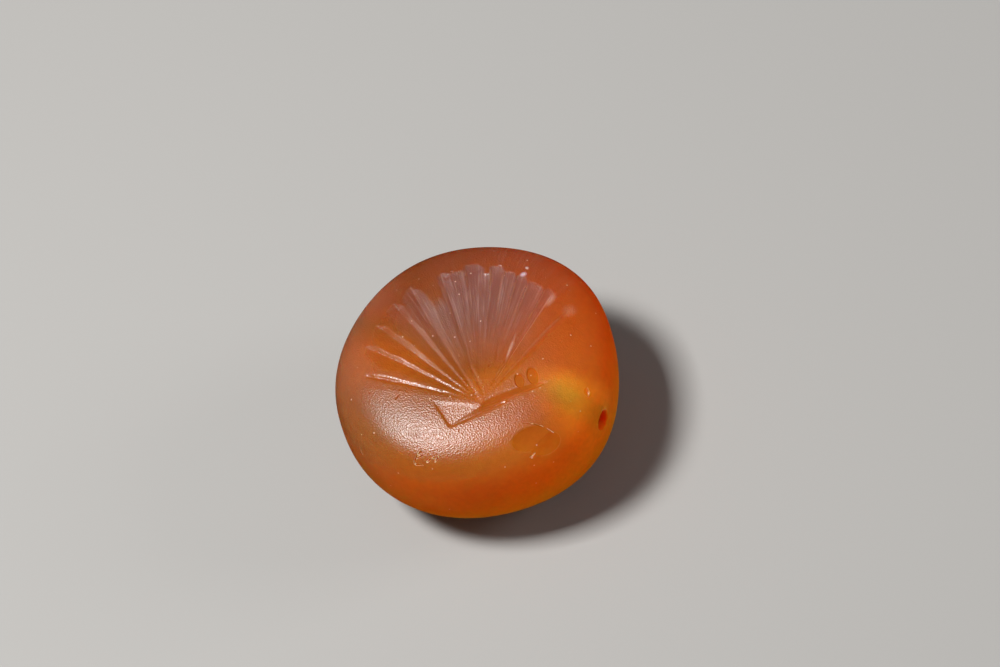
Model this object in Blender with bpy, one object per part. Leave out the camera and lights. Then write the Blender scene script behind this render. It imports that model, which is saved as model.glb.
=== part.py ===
"""Engraved scarab gem: one rounded pebble of carnelian, pierced for a string.

The gem lies on its back, as it does when it is loose, with its engraved face up.
The origin is the centre of the small flat that it rests on. +Z leaves the engraved
face, +Y points to the top of the engraved fan, and +X to the fan's right.
"""

import math

import bmesh
import bpy
from mathutils import Matrix, Vector

MM = 0.001

# The stone. Its outline is nearly round, with a few soft corners left by hand grinding.
MEAN_RADIUS = 7.59 * MM
OUTLINE_CORNERS = (  # how many corners, how far they stand out, where the first one points
    (2, 0.08 * MM, math.radians(44)),
    (3, 0.07 * MM, math.radians(65)),
    (4, 0.07 * MM, math.radians(28)),
    (5, 0.05 * MM, math.radians(24)),
)
# Both sides are domes. The fuller a dome, the flatter its middle and the quicker its shoulder.
FACE_RISE = 4.0 * MM
FACE_FULLNESS = 3.5
BACK_DROP = 5.0 * MM
BACK_FULLNESS = 2.3
REST_FLAT_RADIUS = 2.6 * MM

# The string hole runs right through at girdle height, drilled from both ends.
STRING_HOLE_BEARING = math.radians(-42)
STRING_HOLE_MOUTH_RADIUS = 0.56 * MM
STRING_HOLE_WAIST_RADIUS = 0.42 * MM
STRING_HOLE_ABOVE_GIRDLE = 0.75 * MM

# The engraved fan: rays cut with a wheel, which spread from one root. Most have a steep wall on
# the right and a gentle one on the left.
FAN_ROOT = (-0.15 * MM, -3.95 * MM)
FAN_RAYS = (  # bearing, length, width of the right wall, of the left wall, depth
    (math.radians(143.5), 7.0 * MM, 0.26 * MM, 0.16 * MM, 0.13 * MM),
    (math.radians(130.8), 7.8 * MM, 0.30 * MM, 0.85 * MM, 0.15 * MM),
    (math.radians(121.1), 8.2 * MM, 0.30 * MM, 0.95 * MM, 0.16 * MM),
    (math.radians(110.7), 8.6 * MM, 0.38 * MM, 1.00 * MM, 0.17 * MM),
    (math.radians(102.7), 9.0 * MM, 0.50 * MM, 0.90 * MM, 0.19 * MM),
    (math.radians(90.6), 9.0 * MM, 0.45 * MM, 0.28 * MM, 0.17 * MM),
    (math.radians(81.3), 9.1 * MM, 0.70 * MM, 0.20 * MM, 0.13 * MM),
    (math.radians(72.2), 8.8 * MM, 0.60 * MM, 0.20 * MM, 0.13 * MM),
    (math.radians(66.6), 8.4 * MM, 0.36 * MM, 0.18 * MM, 0.10 * MM),
    (math.radians(61.5), 8.25 * MM, 0.42 * MM, 0.18 * MM, 0.12 * MM),
    (math.radians(56.0), 7.95 * MM, 0.60 * MM, 0.18 * MM, 0.11 * MM),
    (math.radians(48.5), 7.95 * MM, 0.40 * MM, 0.18 * MM, 0.13 * MM),
    (math.radians(36.6), 7.4 * MM, 0.34 * MM, 0.18 * MM, 0.11 * MM),
)
RAY_STOPS = (0, 0.04, 0.10, 0.35, 0.62, 0.94)  # from a ray's outer end towards the root
RAY_SIZES = (0.3, 0.85, 1.0, 0.8, 0.5, 0.15)  # how much of its full section is left there
# The middle of the fan is one shallow hollow, under the rays.
HOLLOW_CENTRE = (1.1 * MM, 0.9 * MM)
HOLLOW_HALF_SIZE = (3.9 * MM, 4.4 * MM)
HOLLOW_DEPTH = 0.14 * MM

# The base line under the fan, cut in two strokes, and the sunk corner at its left end.
BASE_STROKES = (  # from, to
    ((-2.15 * MM, -4.60 * MM), (1.30 * MM, -4.22 * MM)),
    ((-0.20 * MM, -4.08 * MM), (3.40 * MM, -3.80 * MM)),
)
BASE_STROKE_SIZES = (0.35, 0.9, 1, 1, 1, 0.8, 0.3)
BASE_STROKE_HALF_WIDTH = 0.20 * MM
BASE_STROKE_DEPTH = 0.16 * MM
CORNER_POINTS = (
    (-2.60 * MM, -2.85 * MM),
    (-2.13 * MM, -4.62 * MM),
    (-0.30 * MM, -4.06 * MM),
)
CORNER_DEPTHS = (0.08 * MM, 0.12 * MM, 0.03 * MM)
CORNER_COVER = 0.6 * MM  # how far its cutter stands out of the face

# Two oval cups drilled side by side above the right end of the base line.
CUP_CENTRES = ((2.05 * MM, -3.30 * MM), (2.78 * MM, -3.22 * MM))
CUP_HALF_SIZE = (0.31 * MM, 0.54 * MM)
CUP_DEPTH = 0.10 * MM

# An old flake scar on the shoulder below the base line.
FLAKE_CENTRE = (2.2 * MM, -6.65 * MM)
FLAKE_HALF_SIZE = (1.45 * MM, 0.90 * MM)
FLAKE_DEPTH = 0.16 * MM

# The worn beetle on the back, drawn with a few lines that all stop short of the rest flat.
# Each is an arc across the beetle: how far ahead of the centre, half its length, its bow.
BEETLE_ARCS = (
    (5.7 * MM, 1.9 * MM, 0.55 * MM),
    (4.5 * MM, 3.6 * MM, 0.70 * MM),
    (3.1 * MM, 5.2 * MM, 0.90 * MM),
)
WING_LINE_SPAN = (-3.0 * MM, -6.6 * MM)
BEETLE_LINE_HALF_WIDTH = 0.26 * MM
BEETLE_LINE_DEPTH = 0.20 * MM

BEETLE_LINE_SIZES = (0.3, 0.7, 1, 1, 1, 1, 1, 0.7, 0.3)

# A wheel's cut seen end on, as parts of its width and depth. The cutter goes on past the surface.
WHEEL_FOOT = 0.2
WHEEL_FOOT_DEPTH = 0.9
WHEEL_OVERRUN = 0.6
LENS_PART = 0.35  # the part of a ball's height that a lens cutter leaves

SEGMENTS = 64
FACE_RINGS = 15
BACK_RINGS = 12
HOLE_FACETS = 16
SHARP_ANGLE = math.radians(35)
CARNELIAN = (0.42, 0.085, 0.012, 1.0)


def dome_ratio(reach, fullness):
    """How high a dome stands at a part of its radius, as a part of its rise."""
    return (1 - reach**fullness) ** (1 / fullness)


GIRDLE_HEIGHT = BACK_DROP * dome_ratio(REST_FLAT_RADIUS / MEAN_RADIUS, BACK_FULLNESS)


def outline_radius(bearing):
    corners = (depth * math.cos(count * (bearing - turn)) for count, depth, turn in OUTLINE_CORNERS)
    return MEAN_RADIUS + sum(corners)


def reach_of(x, y):
    """Distance from the axis as a part of the outline's radius, kept just inside it."""
    return min(math.hypot(x, y) / outline_radius(math.atan2(y, x)), 0.999)


def face_point(x, y):
    return Vector((x, y, GIRDLE_HEIGHT + FACE_RISE * dome_ratio(reach_of(x, y), FACE_FULLNESS)))


def fan_floor(x, y):
    """The face with the shallow hollow already in it, which the rays are measured from."""
    across = (x - HOLLOW_CENTRE[0]) / HOLLOW_HALF_SIZE[0]
    along = (y - HOLLOW_CENTRE[1]) / HOLLOW_HALF_SIZE[1]
    return face_point(x, y) - Vector((0, 0, HOLLOW_DEPTH * max(0, 1 - across**2 - along**2)))


def back_point(x, y):
    return Vector((x, y, GIRDLE_HEIGHT - BACK_DROP * dome_ratio(reach_of(x, y), BACK_FULLNESS)))


def outward(surface, x, y):
    """The surface's normal, which points out of the stone."""
    step = 0.02 * MM
    along_x = surface(x + step, y) - surface(x - step, y)
    along_y = surface(x, y + step) - surface(x, y - step)
    normal = along_x.cross(along_y).normalized()
    return -normal if surface is back_point else normal


def object_from(name, mesh_maker):
    mesh = bmesh.new()
    mesh_maker(mesh)
    bmesh.ops.recalc_face_normals(mesh, faces=mesh.faces)
    data = bpy.data.meshes.new(name)
    mesh.to_mesh(data)
    mesh.free()
    obj = bpy.data.objects.new(name, data)
    bpy.context.scene.collection.objects.link(obj)
    return obj


def join_rings(mesh, rings, first_tip=None, last_tip=None):
    """Walls between the rings of points, closed by a tip point or a flat face at each end."""
    loops = [[mesh.verts.new(point) for point in ring] for ring in rings]
    count = len(loops[0])
    for lower, upper in zip(loops, loops[1:]):
        for index in range(count):
            after = (index + 1) % count
            mesh.faces.new((lower[index], lower[after], upper[after], upper[index]))
    for loop, tip in ((loops[0], first_tip), (loops[-1], last_tip)):
        if tip is None:
            mesh.faces.new(loop)
            continue
        point = mesh.verts.new(tip)
        for index in range(count):
            mesh.faces.new((loop[index], loop[(index + 1) % count], point))


def dome_rings(rise, fullness, count, least_reach):
    """Rings of a dome from near its girdle to its middle, evenly spaced by slope."""
    rings = []
    for index in range(1, count):
        slope = math.radians(90) * index / count
        length = (math.cos(slope) ** fullness + math.sin(slope) ** fullness) ** (-1 / fullness)
        reach = length * math.cos(slope)
        if reach > least_reach:
            rings.append((reach, GIRDLE_HEIGHT + rise * length * math.sin(slope)))
    return rings


def outline_ring(reach, height):
    ring = []
    for index in range(SEGMENTS):
        bearing = 2 * math.pi * index / SEGMENTS
        radius = reach * outline_radius(bearing)
        ring.append(Vector((radius * math.cos(bearing), radius * math.sin(bearing), height)))
    return ring


def make_blank():
    """The ground stone before it is engraved."""
    flat_reach = REST_FLAT_RADIUS / MEAN_RADIUS
    back = dome_rings(-BACK_DROP, BACK_FULLNESS, BACK_RINGS, flat_reach * 1.1)
    face = dome_rings(FACE_RISE, FACE_FULLNESS, FACE_RINGS, 0)
    levels = [(flat_reach, 0)] + back[::-1] + [(1, GIRDLE_HEIGHT)] + face
    rings = [outline_ring(reach, height) for reach, height in levels]
    top = Vector((0, 0, GIRDLE_HEIGHT + FACE_RISE))
    return object_from("scarab_gem", lambda mesh: join_rings(mesh, rings, last_tip=top))


def groove_section(steep, gentle, depth):
    """A wheel's cut seen end on: (across, out of the stone) of each corner, carried on past the surface."""
    beyond = WHEEL_OVERRUN * (1 - WHEEL_FOOT)
    return (
        (steep + beyond * steep, WHEEL_OVERRUN * WHEEL_FOOT_DEPTH * depth),
        (WHEEL_FOOT * steep, -WHEEL_FOOT_DEPTH * depth),
        (0, -depth),
        (-WHEEL_FOOT * gentle, -WHEEL_FOOT_DEPTH * depth),
        (-gentle - beyond * gentle, WHEEL_OVERRUN * WHEEL_FOOT_DEPTH * depth),
    )


def make_groove(name, surface, route, steep, gentle, depth, sizes):
    """A cutter along a route of (x, y) points, its section scaled by the size at each."""
    rings = []
    for index, (x, y) in enumerate(route):
        before = route[max(index - 1, 0)]
        after = route[min(index + 1, len(route) - 1)]
        out = outward(surface, x, y)
        travel = surface(*after) - surface(*before)
        across = out.cross(travel).normalized()
        section = groove_section(steep * sizes[index], gentle * sizes[index], depth * sizes[index])
        rings.append([surface(x, y) + across * side + out * lift for side, lift in section])
    return object_from(name, lambda mesh: join_rings(mesh, rings))


def straight_route(start, end, steps):
    parts = [index / (steps - 1) for index in range(steps)]
    return [(start[0] + (end[0] - start[0]) * part, start[1] + (end[1] - start[1]) * part) for part in parts]


def make_fan():
    """One cut for each ray: a blunt outer end, then a long taper to the root."""
    cutters = []
    for number, (bearing, length, steep, gentle, depth) in enumerate(FAN_RAYS):
        ahead = Vector((math.cos(bearing), math.sin(bearing)))
        route = [tuple(Vector(FAN_ROOT) + ahead * length * (1 - stop)) for stop in RAY_STOPS]
        name = f"ray_cutter_{number + 1}"
        cutters.append(make_groove(name, fan_floor, route, steep, gentle, depth, RAY_SIZES))
    return cutters


def make_lens(name, centre, half_size, depth, segments, rings):
    """A cutter that leaves a shallow round-bottomed hollow of this half size and depth in the face."""
    x, y = centre
    thick = depth / (1 - math.sqrt(1 - LENS_PART))
    out = outward(face_point, x, y)
    upright = Vector((0, 0, 1)).rotation_difference(out).to_matrix().to_4x4()
    widen = 1 / math.sqrt(LENS_PART)
    size = Matrix.Diagonal((half_size[0] * widen, half_size[1] * widen, thick, 1))
    place = Matrix.Translation(face_point(x, y) + out * (thick - depth))
    turned = place @ upright @ size

    def fill(mesh):
        bmesh.ops.create_uvsphere(mesh, u_segments=segments, v_segments=rings, radius=1, matrix=turned)

    return object_from(name, fill)


def make_corner():
    """The sunk corner: a wedge that is deepest at its lower left and runs out towards its right point."""
    points = [face_point(*point) for point in CORNER_POINTS]
    out = outward(face_point, *CORNER_POINTS[1])
    floor = [point - out * depth for point, depth in zip(points, CORNER_DEPTHS)]
    cover = [point + out * CORNER_COVER for point in points]
    return object_from("corner_cutter", lambda mesh: join_rings(mesh, [floor, cover]))


def make_base_line():
    cutters = []
    for number, (start, end) in enumerate(BASE_STROKES):
        route = straight_route(start, end, len(BASE_STROKE_SIZES))
        name = f"base_line_cutter_{number + 1}"
        width, depth = BASE_STROKE_HALF_WIDTH, BASE_STROKE_DEPTH
        cutters.append(make_groove(name, face_point, route, width, width, depth, BASE_STROKE_SIZES))
    return cutters


def make_string_hole():
    """Two tapered drillings that meet in the middle of the stone."""
    reach = MEAN_RADIUS * 1.15
    aim = Vector((math.cos(STRING_HOLE_BEARING), math.sin(STRING_HOLE_BEARING), 0))
    middle = Vector((0, 0, GIRDLE_HEIGHT + STRING_HOLE_ABOVE_GIRDLE))
    side = Vector((-aim.y, aim.x, 0))
    stations = (
        (-reach, STRING_HOLE_MOUTH_RADIUS),
        (0, STRING_HOLE_WAIST_RADIUS),
        (reach, STRING_HOLE_MOUTH_RADIUS),
    )
    rings = []
    for distance, radius in stations:
        turns = [2 * math.pi * index / HOLE_FACETS for index in range(HOLE_FACETS)]
        centre = middle + aim * distance
        rings.append(
            [centre + radius * (side * math.cos(turn) + Vector((0, 0, math.sin(turn)))) for turn in turns]
        )
    return object_from("string_hole_cutter", lambda mesh: join_rings(mesh, rings))


def beetle_place(ahead, aside):
    """A place on the back, counted from its centre towards the beetle's head and to its side."""
    turn = STRING_HOLE_BEARING
    return (
        ahead * math.cos(turn) - aside * math.sin(turn),
        ahead * math.sin(turn) + aside * math.cos(turn),
    )


def make_beetle_lines():
    routes = []
    steps = len(BEETLE_LINE_SIZES)
    for ahead, half_length, bow in BEETLE_ARCS:
        parts = [2 * index / (steps - 1) - 1 for index in range(steps)]
        routes.append([beetle_place(ahead - bow * part * part, half_length * part) for part in parts])
    head, tail = WING_LINE_SPAN
    routes.append(straight_route(beetle_place(head, 0), beetle_place(tail, 0), steps))
    cutters = []
    for number, route in enumerate(routes):
        width, depth = BEETLE_LINE_HALF_WIDTH, BEETLE_LINE_DEPTH
        name = f"beetle_line_cutter_{number + 1}"
        cutters.append(make_groove(name, back_point, route, width, width, depth, BEETLE_LINE_SIZES))
    return cutters


def cut(stone, title, cutters):
    """Takes a collection of cutters out of the stone, and leaves them out of the render."""
    group = bpy.data.collections.new(title)
    bpy.context.scene.collection.children.link(group)
    for cutter in cutters:
        bpy.context.scene.collection.objects.unlink(cutter)
        group.objects.link(cutter)
        cutter.hide_render = True
        cutter.display_type = "WIRE"
    modifier = stone.modifiers.new(title, "BOOLEAN")
    modifier.operation = "DIFFERENCE"
    modifier.solver = "EXACT"
    modifier.operand_type = "COLLECTION"
    modifier.collection = group


def carnelian():
    material = bpy.data.materials.new("carnelian")
    material.use_nodes = True
    shader = material.node_tree.nodes["Principled BSDF"]
    shader.inputs["Base Color"].default_value = CARNELIAN
    shader.inputs["Metallic"].default_value = 0
    shader.inputs["Roughness"].default_value = 0.4
    shader.inputs["IOR"].default_value = 1.54
    material.diffuse_color = CARNELIAN
    return material


def main():
    for obj in list(bpy.data.objects):
        bpy.data.objects.remove(obj)
    stone = make_blank()
    hollow = make_lens("hollow_cutter", HOLLOW_CENTRE, HOLLOW_HALF_SIZE, HOLLOW_DEPTH, 32, 24)
    cups = [
        make_lens(f"cup_cutter_{number + 1}", centre, CUP_HALF_SIZE, CUP_DEPTH, 16, 12)
        for number, centre in enumerate(CUP_CENTRES)
    ]
    flake = make_lens("flake_cutter", FLAKE_CENTRE, FLAKE_HALF_SIZE, FLAKE_DEPTH, 20, 16)
    cut(stone, "fan hollow", [hollow])
    cut(stone, "fan rays", make_fan())
    cut(stone, "base line", make_base_line() + [make_corner()])
    cut(stone, "cups and flake", cups + [flake])
    cut(stone, "string hole", [make_string_hole()])
    cut(stone, "beetle lines", make_beetle_lines())
    stone.data.materials.append(carnelian())
    stone.data.shade_smooth()
    stone.data.set_sharp_from_angle(angle=SHARP_ANGLE)


main()
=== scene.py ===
# %% [markdown]
# # An engraved scarab gem
# The real object is one rounded pebble of carnelian, about 15 mm across. Its maker ground it to a low
# dome on the face and a deeper dome on the back, engraved a fan on the face with small wheels fed with
# abrasive, and drilled it from both ends for a string. Long wear has rounded it since. Everything here
# follows the stone's own order of work: blank, engraving, drilling, wear, damage, finish.

# %% Load the frame that everything is fitted to
import math
import random

import bmesh
import bpy
from mathutils import Matrix, Vector


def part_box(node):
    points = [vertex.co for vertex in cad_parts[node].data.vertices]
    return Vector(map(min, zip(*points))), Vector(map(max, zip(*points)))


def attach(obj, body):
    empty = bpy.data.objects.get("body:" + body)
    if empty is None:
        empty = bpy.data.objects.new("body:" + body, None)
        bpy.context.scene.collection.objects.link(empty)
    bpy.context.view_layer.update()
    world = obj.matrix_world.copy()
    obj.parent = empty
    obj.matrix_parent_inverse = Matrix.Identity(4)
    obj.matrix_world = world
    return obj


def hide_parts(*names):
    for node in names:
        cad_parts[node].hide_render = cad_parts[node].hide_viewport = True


PER_METRE = 1000  # millimetres in a metre

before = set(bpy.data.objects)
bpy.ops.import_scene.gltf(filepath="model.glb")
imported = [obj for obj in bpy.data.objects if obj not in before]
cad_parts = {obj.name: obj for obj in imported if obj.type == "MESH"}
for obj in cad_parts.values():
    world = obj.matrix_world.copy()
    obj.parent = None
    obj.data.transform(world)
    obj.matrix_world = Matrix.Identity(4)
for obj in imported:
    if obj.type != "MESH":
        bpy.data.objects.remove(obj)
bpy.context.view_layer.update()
stone_low, stone_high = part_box("scarab_gem")
print("CAD stone, mm:", [round(PER_METRE * size, 2) for size in stone_high - stone_low])

# %% [markdown]
# ## Working scale
# The stone is small, and some of Blender's tools have a smallest step of 0.1 mm. So it is modelled a
# thousand times as large, one unit for each millimetre, and brought to its real size at the end.
# A few helpers do what the hand does all the time: let go of everything, take one object, pick points
# by their place, and add a modifier and apply it.

# %% Helpers for working by hand
def start_fresh():
    """Leaves nothing selected, so that the next operator acts only on what it makes."""
    bpy.ops.object.select_all(action="DESELECT")


def take(obj):
    """Makes this the only selected object, and the active one."""
    start_fresh()
    obj.select_set(True)
    bpy.context.view_layer.objects.active = obj


def pick(obj, test):
    """In edit mode, selects the points of obj that pass the test."""
    mesh = bmesh.from_edit_mesh(obj.data)
    bpy.ops.mesh.select_all(action="DESELECT")
    for point in mesh.verts:
        if test(point):
            point.select_set(True)
    mesh.select_flush_mode()
    bmesh.update_edit_mesh(obj.data)


def apply(obj, kind, **settings):
    """Adds a modifier with these settings and applies it."""
    take(obj)
    modifier = obj.modifiers.new(kind, kind)
    for name, value in settings.items():
        setattr(modifier, name, value)
    bpy.ops.object.modifier_apply(modifier=modifier.name)


print("one working unit is", 1 / PER_METRE, "m")

# %% [markdown]
# ## The blank
# A seal stone starts as a pebble that is sawn, then ground on a flat lap while it is turned by hand. That
# gives a nearly round outline with a few soft corners, a face that is flat in its middle and quick at its
# shoulder, and a rounder back. A globe has the right make for this: its rings are set to the dome's
# heights and widths one by one, and its meridians are drawn out to the soft corners.

# %% The outline, in millimetres
MEAN_RADIUS = 7.59
OUTLINE_CORNERS = (  # how many corners, how far they stand out, where the first one points
    (2, 0.08, math.radians(44)),
    (3, 0.07, math.radians(65)),
    (4, 0.07, math.radians(28)),
    (5, 0.05, math.radians(24)),
)


def outline_radius(bearing):
    """How far the outline is from the stone's axis at a bearing."""
    corners = (depth * math.cos(count * (bearing - turn)) for count, depth, turn in OUTLINE_CORNERS)
    return MEAN_RADIUS + sum(corners)


print("the stone is", round(2 * outline_radius(0), 1), "mm wide from left to right")

# %% The domes, in millimetres
FACE_RISE = 4.0
FACE_FULLNESS = 3.5
BACK_DROP = 5.0
BACK_FULLNESS = 2.3
REST_FLAT_RADIUS = 2.6
INSIDE = 0.999  # the domes are steep at their rim, so heights are read just inside it


def dome_ratio(reach, fullness):
    """How high a dome stands at a part of its radius, as a part of its rise."""
    return (1 - reach**fullness) ** (1 / fullness)


GIRDLE_HEIGHT = BACK_DROP * dome_ratio(REST_FLAT_RADIUS / MEAN_RADIUS, BACK_FULLNESS)


def reach_of(x, y):
    """Distance from the axis, as a part of the outline's radius there."""
    return min(math.hypot(x, y) / outline_radius(math.atan2(y, x)), INSIDE)


def face_height(x, y):
    """Height of the uncut face."""
    return GIRDLE_HEIGHT + FACE_RISE * dome_ratio(reach_of(x, y), FACE_FULLNESS)


def back_height(x, y):
    """Height of the uncut back."""
    return GIRDLE_HEIGHT - BACK_DROP * dome_ratio(reach_of(x, y), BACK_FULLNESS)


print("girdle at", round(GIRDLE_HEIGHT, 2), "mm, top at", round(GIRDLE_HEIGHT + FACE_RISE, 2), "mm")

# %% A globe becomes the blank
MERIDIANS = 64
RINGS = 32
ON_LINE = 0.01  # radians: points closer than this lie on a ring or a meridian
POLE_SLOPE = 1.5  # radians: the poles lie past this and belong to no meridian
BLANK_LEVELS = 2

start_fresh()
bpy.ops.mesh.primitive_uv_sphere_add(segments=MERIDIANS, ring_count=RINGS, radius=MEAN_RADIUS)
stone = bpy.context.object
stone.name = "carved_stone"

bpy.ops.object.mode_set(mode="EDIT")
slopes = {point.index: math.atan2(point.co.z, math.hypot(*point.co.xy)) for point in stone.data.vertices}
bearings = {point.index: math.atan2(point.co.y, point.co.x) for point in stone.data.vertices}
for ring in range(RINGS + 1):
    slope = math.pi * (ring / RINGS - 0.5)
    rise, fullness = (FACE_RISE, FACE_FULLNESS) if slope > 0 else (BACK_DROP, BACK_FULLNESS)
    level, width = abs(math.sin(slope)), math.cos(slope)
    length = (width**fullness + level**fullness) ** (-1 / fullness) if 0 < ring < RINGS else 1
    height = GIRDLE_HEIGHT + math.copysign(rise * length * level, slope)
    pick(stone, lambda point: abs(slopes[point.index] - slope) < ON_LINE)
    bpy.ops.transform.resize(value=(length, length, 1), center_override=(0, 0, 0))
    bpy.ops.transform.translate(value=(0, 0, height - MEAN_RADIUS * math.sin(slope)))
for meridian in range(MERIDIANS):
    bearing = 2 * math.pi * meridian / MERIDIANS
    pick(
        stone,
        lambda point: abs(math.remainder(bearings[point.index] - bearing, 2 * math.pi)) < ON_LINE
        and abs(slopes[point.index]) < POLE_SLOPE,
    )
    out = outline_radius(bearing) / MEAN_RADIUS
    bpy.ops.transform.resize(value=(out, out, 1), center_override=(0, 0, 0))
bpy.ops.object.mode_set(mode="OBJECT")
apply(stone, "SUBSURF", levels=BLANK_LEVELS, render_levels=BLANK_LEVELS)
print("blank:", len(stone.data.polygons), "faces,", [round(size, 2) for size in stone.dimensions], "mm")

# %% The rest flat is lapped at the foot of the back
bpy.ops.object.mode_set(mode="EDIT")
bpy.ops.mesh.select_all(action="SELECT")
bpy.ops.mesh.bisect(plane_co=(0, 0, 0), plane_no=(0, 0, 1), use_fill=True, clear_inner=True)
bpy.ops.object.mode_set(mode="OBJECT")
print("rest flat cut, lowest point", round(min(point.co.z for point in stone.data.vertices), 3))

# %% [markdown]
# ## The engraving tools
# A seal engraver holds the stone up to small turning tools fed with abrasive. A ball-ended drill leaves a
# bowl, and a wheel leaves a groove whose section is the wheel's own edge: sharp, flat or round. Here a bowl
# is a flattened globe, and a groove is the wheel's section, drawn along its route by extruding it step by
# step, so both follow the stone's surface. All of them are later taken out of the stone together.

# %% The way a surface faces
UPRIGHT = Vector((0, 0, 1))
SLOPE_STEP = 0.02  # how far to each side a slope is read


def outward(x, y, surface=face_height):
    """The way a surface faces at a place."""
    slope_x = (surface(x + SLOPE_STEP, y) - surface(x - SLOPE_STEP, y)) / (2 * SLOPE_STEP)
    slope_y = (surface(x, y + SLOPE_STEP) - surface(x, y - SLOPE_STEP)) / (2 * SLOPE_STEP)
    return Vector((-slope_x, -slope_y, 1)).normalized()


print("the middle of the face is turned", round(math.degrees(outward(0, 0).angle(UPRIGHT)), 1), "degrees")

# %% A bowl left by a ball-ended drill
BOWL_PART = 0.35  # how much of the globe's half thickness is in the stone
BOWL_WIDEN = 1 / math.sqrt(1 - (1 - BOWL_PART) ** 2)  # a globe's own width, for a bowl of width 1
BOWL_SEGMENTS = 96


def bowl(name, centre, half_size, depth, turn=0, surface=face_height):
    """A flattened globe that leaves a bowl of this half size and depth in the surface."""
    x, y = centre
    out = outward(x, y, surface)
    tilt = UPRIGHT.rotation_difference(out).to_matrix().to_4x4()
    thick = depth / BOWL_PART
    start_fresh()
    bpy.ops.mesh.primitive_uv_sphere_add(segments=BOWL_SEGMENTS, ring_count=BOWL_SEGMENTS // 2, radius=1)
    cutter = bpy.context.object
    cutter.name = name
    cutter.scale = (half_size[0] * BOWL_WIDEN, half_size[1] * BOWL_WIDEN, thick)
    cutter.matrix_world = tilt @ Matrix.Rotation(turn, 4, "Z") @ cutter.matrix_basis
    cutter.location = Vector((x, y, surface(x, y))) + out * (thick - depth)
    return cutter


print("a bowl's globe is", round(BOWL_WIDEN, 2), "times as wide as the bowl")

# %% The section of a wheel
SECTION_LIFT = 0.5  # how far the section's centre stands above the surface, for a section of radius 1
SHARP = (4, 0.5, 0.5)  # corners of the section, and its half width and depth below the surface
FLAT = (6, 0.71, 0.366)
ROUND = (12, 0.86, 0.5)
OFF_MIDDLE = 0.001  # points further out than this are on one side of the section


def wheel_section(name, corners, growth, left, right, side):
    """An upright polygon in edit mode, grown, and then widened to the left and to the right."""
    start_fresh()
    bpy.ops.mesh.primitive_circle_add(
        vertices=corners, radius=1, fill_type="NGON", rotation=(0, math.radians(90), 0)
    )
    cutter = bpy.context.object
    cutter.name = name
    bpy.ops.object.transform_apply(rotation=True)
    bpy.ops.object.mode_set(mode="EDIT")
    pick(cutter, lambda point: True)
    bpy.ops.transform.translate(value=(0, 0, SECTION_LIFT * side))
    bpy.ops.transform.resize(value=growth, center_override=(0, 0, 0))
    for hand, width in ((1, left), (-1, right)):
        pick(cutter, lambda point: point.co.y * hand > OFF_MIDDLE)
        bpy.ops.transform.resize(value=(1, width, 1), center_override=(0, 0, 0))
    pick(cutter, lambda point: True)
    return cutter


print("wheels with", SHARP[0], FLAT[0], "and", ROUND[0], "corners to their section")


# %% A groove left by a wheel
def stroke(name, start, end, left, right, depth, stops, wheel=SHARP, surface=face_height, side=1):
    """A cutter from start to end, with its widths to the left and right and its depth in millimetres.

    Each stop is a part of the way, and the parts of the widths and of the depth that the stroke has there.
    Side is 1 on the face and -1 on the back.
    """
    corners, half_width, sink = wheel
    ahead = Vector(end) - Vector(start)
    heading = math.atan2(ahead.y, ahead.x)
    aside = Vector((-math.sin(heading), math.cos(heading)))

    def station(part):
        """(distance, height, tilt to the side) of the surface at a part of the way."""
        place = Vector(start) + ahead * part
        rise = surface(*(place + aside * SLOPE_STEP)) - surface(*(place - aside * SLOPE_STEP))
        return ahead.length * part, surface(*place), math.atan(rise / (2 * SLOPE_STEP))

    part, broad, deep = stops[0]
    distance, height, tilt = station(part)
    growth = (1, broad / half_width, deep * depth / sink)
    cutter = wheel_section(name, corners, growth, left, right, side)
    bpy.ops.transform.rotate(value=-tilt, orient_axis="X", center_override=(0, 0, 0))
    bpy.ops.transform.translate(value=(distance, 0, height))
    for part, next_broad, next_deep in stops[1:]:
        next_distance, next_height, next_tilt = station(part)
        centre = (next_distance, 0, next_height)
        step = (next_distance - distance, 0, next_height - height)
        bpy.ops.mesh.extrude_region_move(TRANSFORM_OT_translate={"value": step})
        growth = (1, next_broad / broad, next_deep / deep)
        bpy.ops.transform.resize(value=growth, center_override=centre)
        bpy.ops.transform.rotate(value=tilt - next_tilt, orient_axis="X", center_override=centre)
        distance, height, tilt, broad, deep = next_distance, next_height, next_tilt, next_broad, next_deep
    bpy.ops.mesh.select_all(action="SELECT")
    bpy.ops.mesh.normals_make_consistent(inside=False)
    bpy.ops.object.mode_set(mode="OBJECT")
    cutter.rotation_euler.z = heading
    cutter.location = (*start, 0)
    return cutter


print("a stroke's slope is read over", 2 * SLOPE_STEP, "mm")


# %% Take cutters out of the stone
def carve(obj, title, cutters):
    """Takes a set of cutters out of the stone, and throws the cutters away."""
    tray = bpy.data.collections.new(title)
    bpy.context.scene.collection.children.link(tray)
    for cutter in cutters:
        for home in list(cutter.users_collection):
            home.objects.unlink(cutter)
        tray.objects.link(cutter)
    bpy.context.view_layer.update()
    # The manifold solver suits closed meshes like these, and takes a tenth of the exact solver's time.
    apply(
        obj,
        "BOOLEAN",
        operation="DIFFERENCE",
        solver="MANIFOLD",
        operand_type="COLLECTION",
        collection=tray,
    )
    for cutter in cutters:
        bpy.data.objects.remove(cutter)
    bpy.data.collections.remove(tray)
    print(title, "carved:", len(obj.data.polygons), "faces")


print("uncut stone:", len(stone.data.polygons), "faces")

# %% [markdown]
# ## The fan
# The fan fills the face like a scallop shell. Its flutes all run from one root near the foot of the face to
# a ragged oval border, and neighbours meet in ridges, so a section across it looks like a saw. On the left
# the long slope of each tooth is on the left side and the short one catches the light. In the middle and on
# the right it is the other way round, because the stone was turned in the hand between strokes. The middle
# was first sunk as one shallow bowl, and the flutes are measured from its floor.

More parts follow.
